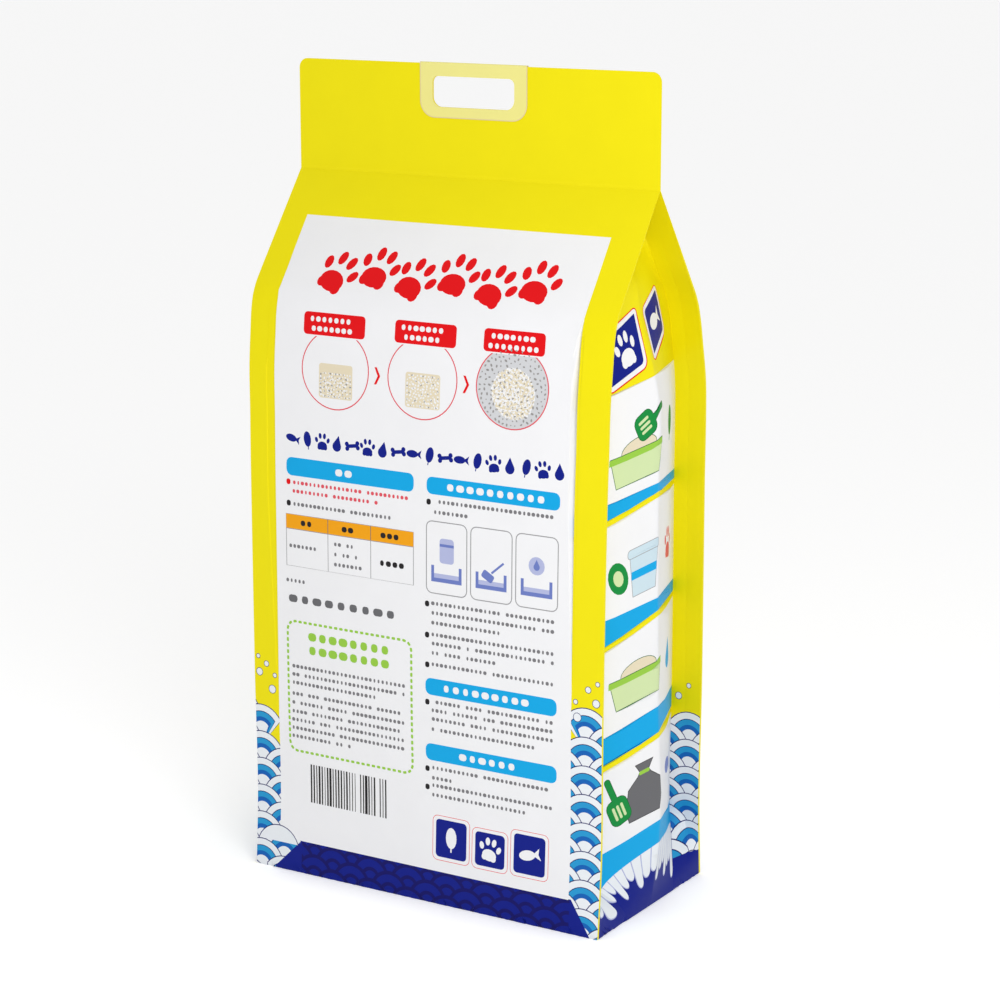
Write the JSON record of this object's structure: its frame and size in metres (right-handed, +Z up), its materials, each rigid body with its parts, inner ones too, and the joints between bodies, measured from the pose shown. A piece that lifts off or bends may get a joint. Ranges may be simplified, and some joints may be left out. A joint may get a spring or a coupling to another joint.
{
  "type": "cat litter bag",
  "caption": "Filled side-gusset film bag of cat litter that stands upright, with corner fins, a flat sealed header and a patched hand hole.",
  "frame": {"origin": "middle of the flat base, on the surface that the bag stands on", "axes": "+Z up through the header, the printed front faces -Y, the width runs along X"},
  "size_m": [0.3096, 0.1566, 0.6001],
  "materials": {
    "printed_film": "satin printed film",
    "patch_film": "translucent pale film over yellow"
  },
  "bodies": {
    "root": {"bag": "printed_film", "handle_patch": "patch_film"}
  },
  "joints": []
}
